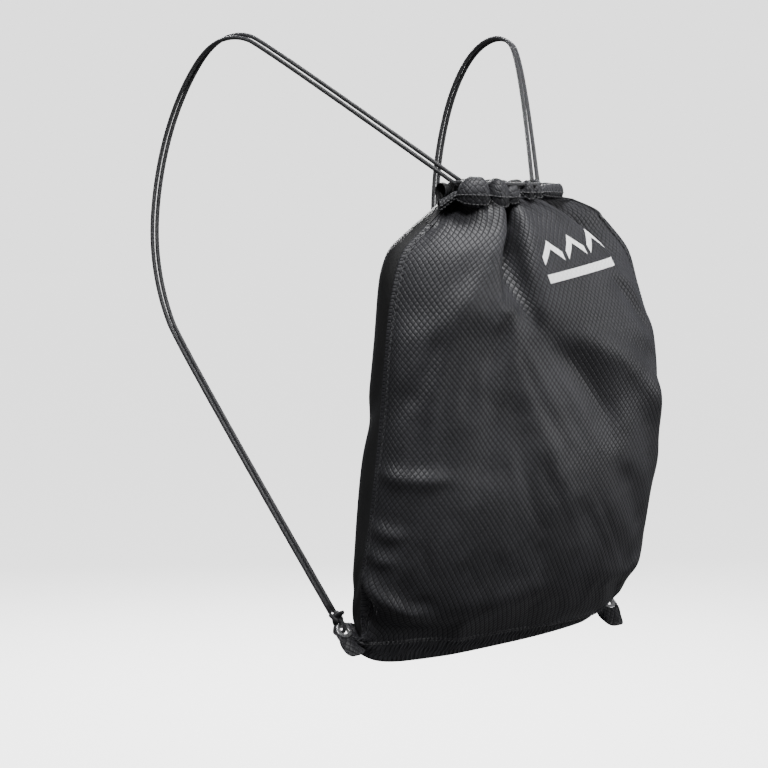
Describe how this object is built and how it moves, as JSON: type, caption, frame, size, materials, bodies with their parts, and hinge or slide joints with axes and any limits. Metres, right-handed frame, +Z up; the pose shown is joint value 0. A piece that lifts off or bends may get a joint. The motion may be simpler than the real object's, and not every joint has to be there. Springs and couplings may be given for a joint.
{
  "type": "drawstring backpack",
  "caption": "Cinched drawstring backpack of diamond-weave cloth with doubled cord straps, taut as carried, tied through metal eyelets at its bottom corners.",
  "frame": {"origin": "middle of the back panel, where the bag lies on the wearer's back", "axes": "+Z up along the bag's height, +X to the right seen from the front, front face towards -Y, wearer on +Y"},
  "size_m": [0.3728, 0.3518, 0.5614],
  "materials": {
    "ripstop_front": "satin",
    "plain_back": "satin",
    "cord": "satin",
    "thread": "satin",
    "eyelet_metal": "satin",
    "print_ink": "matte"
  },
  "bodies": {
    "bag": {"front_panel": "ripstop_front", "front_gathers": "ripstop_front", "back_panel": "plain_back", "left_side_seam": "plain_back", "right_side_seam": "plain_back", "bottom_hem": "ripstop_front", "left_corner_patch": "ripstop_front", "right_corner_patch": "ripstop_front", "back_channel": "plain_back", "left_seam_stitching": "thread", "right_seam_stitching": "thread", "bottom_hem_stitching": "thread", "back_channel_stitching": "thread", "left_slit_bartack": "thread", "right_slit_bartack": "thread", "left_eyelet": "eyelet_metal", "right_eyelet": "eyelet_metal", "left_eyelet_washer": "eyelet_metal", "right_eyelet_washer": "eyelet_metal", "left_end_knot": "cord", "right_end_knot": "cord", "left_cord_back_run": "cord", "right_cord_back_run": "cord", "front_print": "print_ink"},
    "mouth_front": {"front_channel": "ripstop_front", "front_channel_stitching": "thread", "left_cord_front_run": "cord", "right_cord_front_run": "cord"},
    "left_strap": {"left_strap_outer_cord": "cord", "left_strap_inner_cord": "cord"},
    "right_strap": {"right_strap_outer_cord": "cord", "right_strap_inner_cord": "cord"}
  },
  "joints": [
    {"name": "left_strap_swing", "type": "hinge", "parent": "bag", "child": "left_strap", "pos_m": [-0.14797, -0.01866, -0.17776], "axis": [0.2691, -0.0847, 0.9594], "range_deg": [-8, 50]},
    {"name": "right_strap_swing", "type": "hinge", "parent": "bag", "child": "right_strap", "pos_m": [0.14079, -0.0186, -0.17769], "axis": [0.258, 0.0847, -0.9624], "range_deg": [-8, 50]},
    {"name": "mouth_open", "type": "hinge", "parent": "bag", "child": "mouth_front", "pos_m": [0, -0.052, 0.135], "axis": [1, 0, 0], "range_deg": [0, 14], "deforming": ["front_gathers"]}
  ]
}
